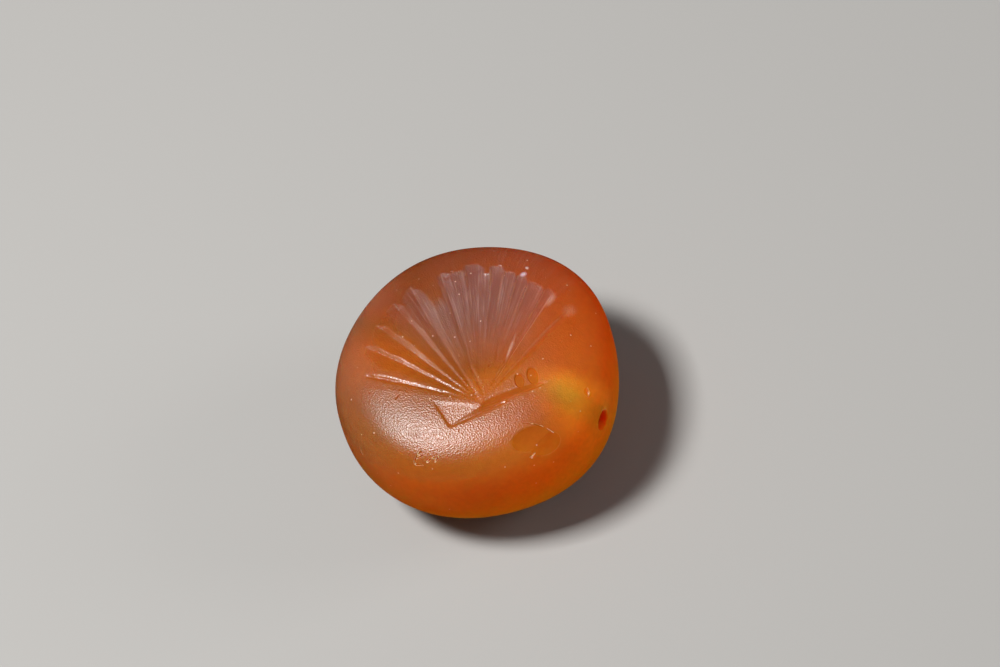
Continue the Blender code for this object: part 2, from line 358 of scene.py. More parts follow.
# %% The shallow hollow under the fan
HOLLOW_CENTRE = (1.1, 0.9)
HOLLOW_HALF_SIZE = (3.9, 4.4)
HOLLOW_DEPTH = 0.14

hollow_cutter = bowl("hollow_cutter", HOLLOW_CENTRE, HOLLOW_HALF_SIZE, HOLLOW_DEPTH)


def fan_floor(x, y):
    """Height of the face with the hollow sunk in it."""
    across = (x - HOLLOW_CENTRE[0]) / HOLLOW_HALF_SIZE[0]
    along = (y - HOLLOW_CENTRE[1]) / HOLLOW_HALF_SIZE[1]
    return face_height(x, y) - HOLLOW_DEPTH * max(0, 1 - across**2 - along**2)


print("hollow floor at", round(fan_floor(*HOLLOW_CENTRE), 2), "mm")

# %% How a flute widens and deepens on its way from the root
LONG_STOPS = (
    (0, 0.04, 0.1),
    (0.15, 0.16, 0.32),
    (0.4, 0.42, 0.62),
    (0.65, 0.68, 0.88),
    (0.88, 0.93, 1.0),
    (0.94, 1.0, 0.8),
    (1, 0.8, 0.1),
)
FADING_STOPS = (  # these flutes are lost before they reach the root
    (0.12, 0.12, 0.02),
    (0.35, 0.36, 0.12),
    (0.55, 0.58, 0.45),
    (0.75, 0.78, 0.85),
    (0.88, 0.93, 1.0),
    (0.95, 1.0, 0.75),
    (1, 1.0, 0.1),
)
FACET_STOPS = (
    (0.42, 0.2, 0.15),
    (0.62, 0.7, 0.7),
    (0.82, 0.95, 0.95),
    (0.92, 1, 0.9),
    (0.97, 0.7, 0.4),
    (1, 0.3, 0.05),
)
print("stops on a long flute:", len(LONG_STOPS))

# %% The flutes
FLUTES = (  # bearing from the root in degrees, length, widths to its left and right, depth, wheel, stops
    (143.5, 7.0, 0.16, 0.20, 0.11, SHARP, LONG_STOPS),
    (143.5, 7.0, 0.16, 0.22, 0.09, SHARP, FACET_STOPS),
    (130.8, 7.8, 0.95, 0.26, 0.13, SHARP, LONG_STOPS),
    (130.8, 7.8, 0.50, 0.30, 0.14, SHARP, FACET_STOPS),
    (121.1, 8.2, 1.05, 0.20, 0.14, SHARP, LONG_STOPS),
    (121.1, 8.2, 0.50, 0.30, 0.15, SHARP, FACET_STOPS),
    (110.7, 8.6, 1.10, 0.22, 0.15, SHARP, LONG_STOPS),
    (110.7, 8.6, 0.50, 0.38, 0.17, SHARP, FACET_STOPS),
    (102.7, 9.0, 0.90, 0.22, 0.16, SHARP, LONG_STOPS),
    (102.7, 9.0, 0.50, 0.50, 0.19, SHARP, FACET_STOPS),
    (90.6, 9.0, 0.28, 0.45, 0.17, SHARP, FADING_STOPS),
    (87.3, 8.75, 0.60, 0.62, 0.06, FLAT, FADING_STOPS),
    (81.3, 9.1, 0.18, 0.74, 0.13, FLAT, FADING_STOPS),
    (75.8, 8.3, 0.14, 0.34, 0.09, FLAT, FADING_STOPS),
    (72.2, 8.8, 0.16, 0.60, 0.13, FLAT, FADING_STOPS),
    (66.6, 8.4, 0.14, 0.40, 0.08, FLAT, FADING_STOPS),
    (62.0, 8.25, 0.16, 0.47, 0.10, FLAT, FADING_STOPS),
    (56.6, 7.95, 0.16, 0.80, 0.09, FLAT, FADING_STOPS),
    (49.5, 7.95, 0.14, 0.42, 0.13, FLAT, LONG_STOPS),
    (36.6, 7.4, 0.14, 0.34, 0.11, SHARP, LONG_STOPS),
)
print("strokes in the fan:", len(FLUTES))

# %% Cutters for the flutes
FAN_ROOT = (-0.15, -3.95)


def from_root(bearing, length):
    """The place at a bearing in degrees and a distance from the fan's root."""
    turn = math.radians(bearing)
    return FAN_ROOT[0] + length * math.cos(turn), FAN_ROOT[1] + length * math.sin(turn)


flute_cutters = [
    stroke(
        f"flute_cutter_{number + 1}",
        FAN_ROOT,
        from_root(bearing, length),
        left,
        right,
        depth,
        stops,
        wheel,
        fan_floor,
    )
    for number, (bearing, length, left, right, depth, wheel, stops) in enumerate(FLUTES)
]
print(len(flute_cutters), "flute cutters ready")

# %% Fine lines that were cut again inside the fan
FINE_LINES = (  # from, to, widths to its left and right, depth
    ((1.60, -2.20), (2.75, 0.20), 0.05, 0.17, 0.13),
    ((1.00, -2.10), (1.90, 0.30), 0.04, 0.10, 0.08),
    ((0.05, -3.60), (-0.25, -1.00), 0.04, 0.12, 0.10),
    ((-0.11, 0.20), (-0.33, 1.60), 0.04, 0.10, 0.07),
)
FINE_STOPS = ((0, 0.3, 0.3), (0.3, 1, 1), (0.7, 1, 1), (1, 0.3, 0.3))

fine_cutters = [
    stroke(f"fine_cutter_{number + 1}", start, end, left, right, depth, FINE_STOPS, SHARP, fan_floor)
    for number, (start, end, left, right, depth) in enumerate(FINE_LINES)
]
print(len(fine_cutters), "fine lines")

# %% [markdown]
# ## Under the fan
# One straight line closes the fan at its foot. It was cut in two strokes that don't quite meet, and at its
# left end the corner between the line and the fan is sunk. Two upright oval cups stand side by side above
# the line's right end. They are the bowls of a small drill.

# %% The base line
LINE_STOPS = ((0, 0.6, 0.5), (0.06, 0.9, 0.9), (0.2, 1, 1), (0.5, 1, 1), (0.85, 0.8, 0.8), (1, 0.3, 0.2))
BASE_LINE = (  # from, to, widths to its left and right, depth
    ((-2.15, -4.60), (1.30, -4.22), 0.42, 0.18, 0.18),
    ((-0.20, -4.12), (3.40, -3.80), 0.40, 0.18, 0.17),
)

line_cutters = [
    stroke(f"line_cutter_{number + 1}", start, end, left, right, depth, LINE_STOPS)
    for number, (start, end, left, right, depth) in enumerate(BASE_LINE)
]
print(len(line_cutters), "strokes in the base line")

# %% The sunk corner
CORNER = (  # place, and depth below the face
    (-2.60, -2.90, 0.015),
    (-2.14, -4.60, 0.11),
    (-0.35, -4.05, 0.03),
)
CORNER_COVER = 0.6  # how far the cutter stands above the face

start_fresh()
bpy.ops.mesh.primitive_circle_add(vertices=len(CORNER), radius=1, fill_type="NGON")
corner_cutter = bpy.context.object
corner_cutter.name = "corner_cutter"
bpy.ops.object.mode_set(mode="EDIT")
for number, (x, y, depth) in enumerate(CORNER):
    pick(corner_cutter, lambda point: point.index == number)
    now = bmesh.from_edit_mesh(corner_cutter.data).verts
    now.ensure_lookup_table()
    bpy.ops.transform.translate(value=Vector((x, y, face_height(x, y) - depth)) - now[number].co)
bpy.ops.mesh.select_all(action="SELECT")
bpy.ops.mesh.extrude_region_move(TRANSFORM_OT_translate={"value": (0, 0, CORNER_COVER)})
bpy.ops.mesh.select_all(action="SELECT")
bpy.ops.mesh.normals_make_consistent(inside=False)
bpy.ops.object.mode_set(mode="OBJECT")
print("corner cutter:", len(corner_cutter.data.polygons), "faces")

# %% The cups
CUPS = ((2.05, -3.30, 0.27, 0.50), (2.78, -3.22, 0.33, 0.58))  # place, half width, half height
CUP_DEPTH = 0.11
CUP_FLOOR = 0.78  # the floor is this part of the rim
CUP_REACH = 4  # the cone is this many times as long as the cup is deep, so that it clears the face
CUP_SIDES = 32

cup_cutters = []
for x, y, half_width, half_height in CUPS:
    out = outward(x, y)
    start_fresh()
    bpy.ops.mesh.primitive_cone_add(
        vertices=CUP_SIDES,
        radius1=CUP_FLOOR,
        radius2=CUP_FLOOR + CUP_REACH * (1 - CUP_FLOOR),
        depth=CUP_REACH * CUP_DEPTH,
        location=Vector((x, y, face_height(x, y))) + out * CUP_DEPTH * (CUP_REACH / 2 - 1),
        rotation=UPRIGHT.rotation_difference(out).to_euler(),
        scale=(half_width, half_height, 1),
    )
    cup_cutters.append(bpy.context.object)
print(len(cup_cutters), "cups")

# %% [markdown]
# ## The beetle on the back
# The back was left a plain scarab: two or three curved lines for the head, the shoulders and the wing cases,
# and one line between the wings. They are worn nearly away. A curved line is cut with many short touches of
# a round wheel, so here it is a row of short strokes.

# %% A line made of short touches
BEETLE_BEARING = math.radians(-42)  # where its head points, which is along the string hole
BEETLE_LINE_HALF_WIDTH = 0.26
BEETLE_LINE_DEPTH = 0.20
END_SIZE = 0.4  # of a line's first and last touch
SIZE_STEP = 0.3  # how much larger each next touch is, up to full size
TOUCH_STOPS = ((-0.15, 1, 1), (1.15, 1, 1))  # each touch runs a little into the next


def beetle_place(ahead, aside):
    """A place on the back, counted from its centre towards the beetle's head and to its side."""
    along = Vector((math.cos(BEETLE_BEARING), math.sin(BEETLE_BEARING)))
    return along * ahead + Vector((-along.y, along.x)) * aside


def back_line(name, places):
    """A row of short touches from place to place, which fades out at both ends."""
    cutters = []
    for number, (start, end) in enumerate(zip(places, places[1:])):
        fade = min(1, END_SIZE + min(number, len(places) - 2 - number) * SIZE_STEP)
        size = BEETLE_LINE_HALF_WIDTH * fade
        depth = BEETLE_LINE_DEPTH * fade
        touch = stroke(
            f"{name}_{number + 1}", start, end, size, size, depth, TOUCH_STOPS, ROUND, back_height, side=-1
        )
        cutters.append(touch)
    return cutters


print("a touch is", 2 * BEETLE_LINE_HALF_WIDTH, "mm wide")

# %% The beetle's lines
BEETLE_ARCS = ((5.7, 1.9, 0.55), (4.5, 3.6, 0.70), (3.1, 5.2, 0.90))  # ahead of the centre, half length, bow
WING_LINE_SPAN = (-3.0, -6.6)
TOUCHES = 10
WING_TOUCHES = 6

beetle_cutters = []
for number, (ahead, half_length, bow) in enumerate(BEETLE_ARCS):
    parts = [2 * index / TOUCHES - 1 for index in range(TOUCHES + 1)]
    places = [beetle_place(ahead - bow * part**2, half_length * part) for part in parts]
    beetle_cutters += back_line(f"beetle_arc_{number + 1}", places)
span = WING_LINE_SPAN[1] - WING_LINE_SPAN[0]
parts = [index / WING_TOUCHES for index in range(WING_TOUCHES + 1)]
places = [beetle_place(WING_LINE_SPAN[0] + span * part, 0) for part in parts]
beetle_cutters += back_line("wing_line", places)
print(len(beetle_cutters), "touches on the back")

# %% [markdown]
# ## The string hole
# The hole runs right through just above the girdle. It was drilled from both ends, so each half is a slim
# cone and the waist is in the middle. Two cones do just that.

# %% Two cones that meet in the middle
HOLE_BEARING = BEETLE_BEARING
HOLE_MOUTH_RADIUS = 0.56
HOLE_WAIST_RADIUS = 0.42
HOLE_ABOVE_GIRDLE = 0.75
HOLE_REACH = 1.15 * MEAN_RADIUS  # the cones run on past the surface
HOLE_OVERLAP = 0.05
HOLE_SIDES = 32
HOLE_TAPER = (HOLE_MOUTH_RADIUS - HOLE_WAIST_RADIUS) / MEAN_RADIUS

hole_cutters = []
for bearing in (HOLE_BEARING, HOLE_BEARING + math.pi):
    start_fresh()
    bpy.ops.mesh.primitive_cone_add(
        vertices=HOLE_SIDES,
        radius1=HOLE_WAIST_RADIUS + HOLE_TAPER * HOLE_REACH,
        radius2=HOLE_WAIST_RADIUS,
        depth=HOLE_REACH + HOLE_OVERLAP,
        location=(
            (HOLE_REACH - HOLE_OVERLAP) / 2 * math.cos(bearing),
            (HOLE_REACH - HOLE_OVERLAP) / 2 * math.sin(bearing),
            GIRDLE_HEIGHT + HOLE_ABOVE_GIRDLE,
        ),
        rotation=(0, math.radians(-90), bearing),
    )
    hole_cutters.append(bpy.context.object)
print("string hole:", 2 * HOLE_MOUTH_RADIUS, "mm at its mouths,", 2 * HOLE_WAIST_RADIUS, "mm at its waist")

# %% Carve what the maker cut
carve(stone, "hollow", [hollow_cutter])
carve(stone, "fan", flute_cutters + fine_cutters)
carve(stone, "base line and corner", [*line_cutters, corner_cutter])
carve(stone, "beetle", beetle_cutters)
carve(stone, "string hole", hole_cutters)

# %% [markdown]
# ## Wear
# Handling and burial rounded every edge a little. A voxel remesh turns the carved stone into one even skin
# that can be worn, Smooth wears it, and Decimate then thins it where it is plain, so that the engraving
# keeps the fine triangles.

# %% Wear the edges
VOXEL = 0.05
WEAR_PASSES = 5
WEAR_PER_PASS = 0.5  # of the way to the mean of a point's neighbours
MOST_TRIANGLES = 180000

apply(stone, "REMESH", mode="VOXEL", voxel_size=VOXEL, use_smooth_shade=True)
print("remeshed:", len(stone.data.polygons), "faces")
apply(stone, "SMOOTH", factor=WEAR_PER_PASS, iterations=WEAR_PASSES)
triangles = sum(len(face.vertices) - 2 for face in stone.data.polygons)
apply(stone, "DECIMATE", ratio=min(1, MOST_TRIANGLES / triangles))
print("worn mesh:", len(stone.data.polygons), "faces")

# %% [markdown]
# ## Cups and old damage
# Some marks still have sharp rims, so they are cut into the worn mesh. The two cups are steep enough to
# have kept theirs, and each was made ready above as a cone that stands square to the face. What happened
# after the wear hasn't been rubbed either: a thin flake off the shoulder below the base line, a chip at
# the mouth of the string hole, scratches and nicks. The flake is two shallow bowls that overlap, with
# three thin scratches along its ragged upper edge.

# %% Flake and chips
FLAKE_AND_CHIPS = (  # name, place, half size, depth, turn in degrees
    ("flake_cutter_1", (1.80, -6.45), (1.70, 1.15), 0.16, -14),
    ("flake_cutter_2", (2.40, -6.70), (1.50, 1.15), 0.16, -40),
    ("chip_cutter", (5.80, -4.84), (0.22, 0.20), 0.10, 48),
    ("pit_cutter", (5.29, -4.49), (0.13, 0.28), 0.14, 0),
)

flake_cutters = [
    bowl(name, place, half_size, depth, math.radians(turn))
    for name, place, half_size, depth, turn in FLAKE_AND_CHIPS
]
print(len(flake_cutters), "bowls for the flake and the chips")

# %% Scratches
SCRATCH_STOPS = ((0, 0.3, 0.3), (0.2, 1, 1), (0.75, 0.9, 0.9), (1, 0.3, 0.3))
SCRATCHES = (  # from, to, half width, depth
    ((-5.12, -4.50), (-4.83, -4.96), 0.07, 0.08),
    ((-4.45, -4.98), (-4.66, -5.18), 0.06, 0.08),
    ((-3.80, -5.20), (-4.12, -5.28), 0.08, 0.14),
    ((-4.10, -5.26), (-4.42, -5.50), 0.09, 0.15),
    ((-3.78, -5.44), (-4.30, -5.38), 0.07, 0.14),
    ((-3.76, -5.80), (-3.46, -5.72), 0.08, 0.15),
    ((-3.46, -5.74), (-3.08, -5.82), 0.07, 0.14),
    ((-3.08, -5.82), (-3.36, -5.96), 0.07, 0.14),
    ((-4.42, -5.56), (-4.00, -5.80), 0.08, 0.13),
    ((-3.90, -4.22), (-3.90, -4.65), 0.035, 0.06),
    ((-3.90, -4.65), (-4.10, -5.04), 0.035, 0.06),
    ((1.46, -5.58), (2.10, -5.78), 0.05, 0.08),
    ((2.02, -5.75), (2.62, -6.06), 0.06, 0.09),
    ((2.56, -6.02), (3.08, -6.44), 0.06, 0.09),
    ((1.34, -7.08), (1.90, -6.93), 0.05, 0.10),
    ((1.50, -7.12), (1.72, -6.94), 0.05, 0.09),
    ((-4.45, -2.05), (-4.12, -1.85), 0.07, 0.06),
    ((-6.98, -2.90), (-6.94, -3.20), 0.08, 0.14),
)
scratch_cutters = [
    stroke(f"scratch_cutter_{number + 1}", start, end, half_width, half_width, depth, SCRATCH_STOPS)
    for number, (start, end, half_width, depth) in enumerate(SCRATCHES)
]
print(len(scratch_cutters), "scratches")

# %% Nicks, strewn over the face
NICKS = 60
NICK_FIELD = 6.6
NICK_LENGTHS = (0.06, 0.22)
NICK_HALF_WIDTHS = (0.03, 0.055)
NICK_DEPTH = 0.05
NICK_SEED = 11

random.seed(NICK_SEED)
nick_cutters = []
for number in range(NICKS):
    reach = NICK_FIELD * math.sqrt(random.random())
    bearing = random.uniform(-math.pi, math.pi)
    start = Vector((reach * math.cos(bearing), reach * math.sin(bearing)))
    heading = random.uniform(0, math.pi)
    end = start + Vector((math.cos(heading), math.sin(heading))) * random.uniform(*NICK_LENGTHS)
    half_width = random.uniform(*NICK_HALF_WIDTHS)
    name = f"nick_cutter_{number + 1}"
    nick_cutters.append(
        stroke(name, start, end, half_width, half_width, NICK_DEPTH, SCRATCH_STOPS, SHARP, fan_floor)
    )
print(len(nick_cutters), "nicks")

# %% Carve what came after the wear
carve(stone, "cups", cup_cutters)
carve(stone, "flake and chips", flake_cutters)
carve(stone, "scratches and nicks", scratch_cutters + nick_cutters)

# %% [markdown]
# ## Where the tools went
# Cut stone looks different from worn stone: a tool leaves its walls matt and pale. So that the material can
# follow the cuts exactly, each point of the mesh notes two things as attributes: how deep it lies under
# the ground face, and by what angle it is turned away from it.

# %% Note the cuts on the points
NOTED_FROM = GIRDLE_HEIGHT + 1.5  # lower down, only the string hole is cut

cut_depths = []
cut_slopes = []
for point in stone.data.vertices:
    x, y, z = point.co
    ground = outward(x, y, fan_floor)
    on_face = z > NOTED_FROM
    cut_depths.append((face_height(x, y) - z) * ground.z if on_face else 0)
    cut_slopes.append(point.normal.angle(ground) if on_face else 0)
stone.data.attributes.new("cut_depth", "FLOAT", "POINT").data.foreach_set("value", cut_depths)
stone.data.attributes.new("cut_slope", "FLOAT", "POINT").data.foreach_set("value", cut_slopes)
print("deepest cut on the face", round(max(cut_depths), 2), "mm")

# %% [markdown]
# ## Real size
# The shape is finished, so it is brought to its real size inside its own mesh, which leaves the object at
# the origin, unturned and unscaled. Shading is smooth except across the crisp edges of the late cuts.

# %% Real size
CRISP_EDGE = math.radians(15)

take(stone)
bpy.ops.object.mode_set(mode="EDIT")
bpy.ops.mesh.select_all(action="SELECT")
bpy.ops.transform.resize(value=(1 / PER_METRE,) * 3, center_override=(0, 0, 0))
bpy.ops.object.mode_set(mode="OBJECT")
bpy.ops.object.shade_smooth_by_angle(angle=CRISP_EDGE)
triangles = sum(len(face.vertices) - 2 for face in stone.data.polygons)
print("real size, mm:", [round(PER_METRE * size, 2) for size in stone.dimensions], triangles, "triangles")

# %% [markdown]
# ## Join the frame
# The gem is one solid thing with no moving parts, so it rides on the frame's only body and stands in for
# the plain model of the same stone.

# %% Join the frame
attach(stone, "root")
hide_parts("scarab_gem")
print(stone.name, "rides on root")

# %% [markdown]
# ## The carnelian
# The stone is one piece of carnelian, which is chalcedony that iron has coloured. Light goes deep into it
# before it comes back, red light deepest, so its colour is subsurface scattering with a long red reach.
# Two helpers come first: one for colours as a painter writes them, and one that adds a node of any kind.

# %% Helpers for materials
def to_linear(code):
    """The linear colour of an sRGB hex value."""
    parts = [int(code[start : start + 2], 16) / 255 for start in (1, 3, 5)]
    linear = [part / 12.92 if part <= 0.04045 else ((part + 0.055) / 1.055) ** 2.4 for part in parts]
    return (*linear, 1)


def add_node(tree, kind, inputs=None, **settings):
    """Adds a node, sets its properties, and sets or links its inputs."""
    made = tree.nodes.new(kind)
    for name, value in settings.items():
        setattr(made, name, value)
    for socket, value in (inputs or {}).items():
        if isinstance(value, bpy.types.NodeSocket):
            tree.links.new(value, made.inputs[socket])
        else:
            made.inputs[socket].default_value = value
    return made


# Frosted carnelian: its ground skin spreads every highlight wide, and light that enters comes back amber.
carnelian = bpy.data.materials.new("frosted_carnelian")
carnelian.use_nodes = True
tree = carnelian.node_tree
shader = tree.nodes["Principled BSDF"]
place = add_node(tree, "ShaderNodeTexCoord").outputs["Object"]
print("material", carnelian.name)

# %% [markdown]
# ## Amber and rust
# Carnelian is amber where it holds little iron and rust where it holds more. This one is darkest just under
# the ground face and clears downwards, most of all on the near right, with soft clouds in between, and it
# turns to rust on the far right. The downward clearing is partly the stone's own zoning and partly painted
# light: a painted glow makes it lighter on the shaded near right, where light that crossed the stone comes
# out, and darker on the face that the key light strikes. The first is a ramp of tones along one direction,
# and the second is a tint multiplied over it.

# %% How clear the stone is, with soft clouds and a painted glow
# Partly zoning, partly painted glow: the stone is painted lighter towards this side, away from the key
# light.
GLOW_AND_CLEAR_WAY = (0.42, -0.28, -0.86)  # the stone clears towards this side
GLOW_AND_CLEAR_FROM = -10.5 / PER_METRE
GLOW_AND_CLEAR_TO = 0.8 / PER_METRE
CLOUD_SIZE = 4 / PER_METRE
CLOUD_SHARE = 0.08

clouds = add_node(
    tree, "ShaderNodeTexNoise", {"Vector": place, "Scale": 1 / CLOUD_SIZE, "Detail": 4, "Roughness": 0.55}
).outputs["Fac"]
glow_and_clear_depth = add_node(
    tree, "ShaderNodeVectorMath", {0: place, 1: GLOW_AND_CLEAR_WAY}, operation="DOT_PRODUCT"
).outputs["Value"]
glow_and_clearness = add_node(
    tree,
    "ShaderNodeMapRange",
    {
        "Value": glow_and_clear_depth,
        "From Min": GLOW_AND_CLEAR_FROM,
        "From Max": GLOW_AND_CLEAR_TO,
        "To Min": -CLOUD_SHARE / 2,
        "To Max": 1 - CLOUD_SHARE / 2,
    },
).outputs["Result"]
zone = add_node(
    tree, "ShaderNodeMath", {0: clouds, 1: CLOUD_SHARE, 2: glow_and_clearness}, operation="MULTIPLY_ADD"
).outputs["Value"]
print("it clears over", round((GLOW_AND_CLEAR_TO - GLOW_AND_CLEAR_FROM) * PER_METRE, 1), "mm")

# %% Amber, from just under the ground face to the clear near side, partly a painted glow
BODY_AND_GLOW_TONES = (
    (0.0, "#5C360F"),
    (0.2, "#734411"),
    (0.4, "#8E5012"),
    (0.6, "#AF6515"),
    (0.8, "#D67F19"),
    (1.0, "#FA9E1C"),
)

body = add_node(tree, "ShaderNodeValToRGB", {"Fac": zone})
ramp = body.color_ramp
while len(ramp.elements) < len(BODY_AND_GLOW_TONES):
    ramp.elements.new(0.5)
for element, (position, tone) in zip(ramp.elements, BODY_AND_GLOW_TONES):
    element.position = position
    element.color = to_linear(tone)
print(len(BODY_AND_GLOW_TONES), "body tones")

# %% Rust on the far right
RUST_WAY = (0.83, 0.55, 0)  # iron lies thicker towards this side
RUST_REACH = 8.6 / PER_METRE
RUST_TINT = "#FFAACB"  # multiplied over amber it gives rust

rust_depth = add_node(
    tree, "ShaderNodeVectorMath", {0: place, 1: RUST_WAY}, operation="DOT_PRODUCT"
).outputs["Value"]
rust = add_node(
    tree, "ShaderNodeMapRange", {"Value": rust_depth, "From Min": -RUST_REACH, "From Max": RUST_REACH}
).outputs["Result"]
colour = add_node(
    tree,
    "ShaderNodeMix",
    {0: rust, 6: body.outputs["Color"], 7: to_linear(RUST_TINT)},
    data_type="RGBA",
    blend_type="MULTIPLY",
).outputs[2]
print("rust over", round(2 * RUST_REACH * PER_METRE, 1), "mm")

# %% [markdown]
# ## Spots of other colour, and of painted light
# Painted glow stands for the light that enters by the string hole and fills the stone round it with honey,
# for the little that the thin ridges of the fan let through, and for the thin lip of the hole. A painted
# sheen makes the left shoulder milky and pales the ends of the flutes on the right, and rust lies low on
# the near side. Painted shade darkens the mouth of the hole and the stone under the base line, and one
# small crystal shows on the far shoulder. Each spot is an ellipsoid that fades out towards its surface. A
# strength over 1 widens the even middle, because what reads it stops at 1.

# %% A soft spot
SPOT_CORE = 0.2  # the part of the way out where a spot starts to fade


def soft_spot(centre, half_size, bearing, strength):
    """The strength in the middle of an ellipsoid, fading to 0 at its surface."""
    moved = add_node(
        tree, "ShaderNodeVectorMath", {0: place, 1: Vector(centre) / PER_METRE}, operation="SUBTRACT"
    ).outputs["Vector"]
    angle = -math.radians(bearing)
    turned = add_node(
        tree, "ShaderNodeVectorRotate", {"Vector": moved, "Angle": angle}, rotation_type="Z_AXIS"
    ).outputs["Vector"]
    shares = tuple(PER_METRE / size for size in half_size)
    scaled = add_node(
        tree, "ShaderNodeVectorMath", {0: turned, 1: shares}, operation="MULTIPLY"
    ).outputs["Vector"]
    far = add_node(tree, "ShaderNodeVectorMath", {0: scaled}, operation="LENGTH").outputs["Value"]
    return add_node(
        tree,
        "ShaderNodeMapRange",
        {"Value": far, "From Min": SPOT_CORE, "From Max": 1, "To Min": strength, "To Max": 0},
        interpolation_type="SMOOTHSTEP",
    ).outputs["Result"]


print("a spot is even for", SPOT_CORE, "of its half size")

# %% Spots
SPOTS = (  # centre and half size in millimetres, bearing in degrees, how strong, colour
    # Painted glow: honey round the string hole, for light that enters by the hole and lights the stone.
    ((4.6, -5.1, 6.6), (4.2, 2.3, 3.6), -42, 0.92, "#FF7A18"),  # honey round the string hole
    ((1.0, -3.2, 8.5), (3.2, 2.0, 2.0), 0, 0.12, "#FF8A20"),  # the root of the fan
    # Painted shade: the stone under the base line is painted browner, which dims the highlight there.
    ((2.2, -4.9, 8.4), (4.2, 2.6, 2.4), -10, 0.3, "#6E3010"),  # brown under the base line
    # Painted glow: the brightest part of the honey by the hole.
    ((4.2, -4.05, 8.1), (2.0, 1.1, 1.3), -35, 0.18, "#FFA030"),  # the brightest honey
    # Painted glow: the ridges on the left are painted amber for the light that passes through them.
    ((-3.9, 0.8, 8.2), (3.4, 4.6, 3.2), 30, 0.14, "#FF7A18"),  # the ridges on the left
    # Painted sheen, these three spots: the left shoulder and rim are painted milky for the haze of light
    # from the left.
    ((-6.0, 1.2, 6.8), (2.6, 5.0, 2.6), 0, 0.4, "#A06048"),  # the milky left shoulder
    ((-6.7, -3.2, 6.6), (2.4, 3.4, 2.2), 20, 0.14, "#B06A48"),
    ((-4.2, 5.0, 6.6), (3.5, 2.8, 2.8), 45, 0.5, "#A06048"),
    ((-4.4, 3.8, 8.0), (3.2, 3.2, 2.6), 0, 0.25, "#7E3C24"),  # brown behind the left of the fan
    ((2.6, -6.6, 3.0), (5.5, 3.2, 3.5), 0, 0.7, "#F0700F"),  # rust, low on the near side
    ((4.6, -5.4, 3.0), (4.0, 4.0, 3.2), 0, 0.6, "#FF640C"),
    ((-4.4, -5.8, 5.2), (4.8, 4.4, 3.6), 30, 0.26, "#CC5A0C"),
    # Painted glow above the mouth of the hole.
    ((5.5, -4.1, 6.3), (1.4, 1.2, 1.5), 0, 0.5, "#FF9A30"),  # honey above the mouth of the hole
    # Painted glow and glint on the thin lip of the string hole.
    ((5.83, -4.85, 5.85), (0.5, 0.5, 0.45), 0, 1.0, "#FF9A40"),  # a thin lip that glows
    # Painted shade: dark inside the mouth of the string hole, where shade falls.
    ((4.95, -4.46, 5.35), (1.1, 0.64, 0.58), -42, 1.0, "#2E1404"),  # earth in the mouth
    # Painted sheen: pale patches on the right of the fan, where the flute ends catch the light.
    ((2.1, -1.1, 8.78), (1.1, 0.11, 0.5), 60, 0.4, "#E0B8A8"),  # bloom left thick on the right
    ((4.85, 1.25, 8.5), (0.7, 0.28, 0.5), 50, 0.3, "#D0A090"),
    ((5.65, 0.35, 8.3), (0.6, 0.5, 0.5), 35, 0.3, "#B87858"),
    ((3.9, 3.36, 8.5), (0.26, 0.2, 0.2), 20, 0.6, "#D8C0CC"),  # the crystal
    ((4.18, 3.78, 8.38), (0.14, 0.18, 0.2), 0, 0.6, "#E8C0B8"),
)

for centre, half_size, bearing, strength, tone in SPOTS:
    spot = soft_spot(centre, half_size, bearing, strength)
    colour = add_node(
        tree, "ShaderNodeMix", {0: spot, 6: colour, 7: to_linear(tone)}, data_type="RGBA"
    ).outputs[2]
print(len(SPOTS), "spots of other colour")

# %% Mottling, as chalcedony is never quite even
MOTTLE_SIZE = 0.35 / PER_METRE
MOTTLE_DARK = 0.86
MOTTLE_FROM = 0.3
MOTTLE_TO = 0.7

mottle = add_node(
    tree, "ShaderNodeTexNoise", {"Vector": place, "Scale": 1 / MOTTLE_SIZE, "Detail": 3, "Roughness": 0.6}
).outputs["Fac"]
mottle_tone = add_node(
    tree,
    "ShaderNodeMapRange",
    {"Value": mottle, "From Min": MOTTLE_FROM, "From Max": MOTTLE_TO, "To Min": MOTTLE_DARK, "To Max": 1},
).outputs["Result"]
colour = add_node(
    tree, "ShaderNodeVectorMath", {0: colour, "Scale": mottle_tone}, operation="SCALE"
).outputs["Vector"]
print("mottling", round(MOTTLE_SIZE * PER_METRE, 2), "mm across")

# %% [markdown]
# ## The skin
# The face was ground with grit and never polished, so it is covered with tiny pits that sparkle. Below the
# shoulder they are too fine to be seen one by one, which roughness gives. The wheels left the flutes
# smoother, with fine lines that run out from the root of the fan. Pits and lines are bumps, because they
# are no larger than the triangles of the mesh.

# %% Where the skin is frosted, and where a cut has cleared it
FROST_WAY = (-0.13, 0, 0.99)  # up, and a little to the left, where the face was ground further down
FROST_FROM = 6.9 / PER_METRE
FROST_FULL = 7.5 / PER_METRE
CLEAR_CUT_FROM = 0.03  # mm of depth: deeper than this, a cut is free of grit
CLEAR_CUT_FULL = 0.06
SUNK_CORNER = ((-1.5, -3.85, 8.7), (1.6, 1.3, 1.0), 0, 2)  # its floor was left rough

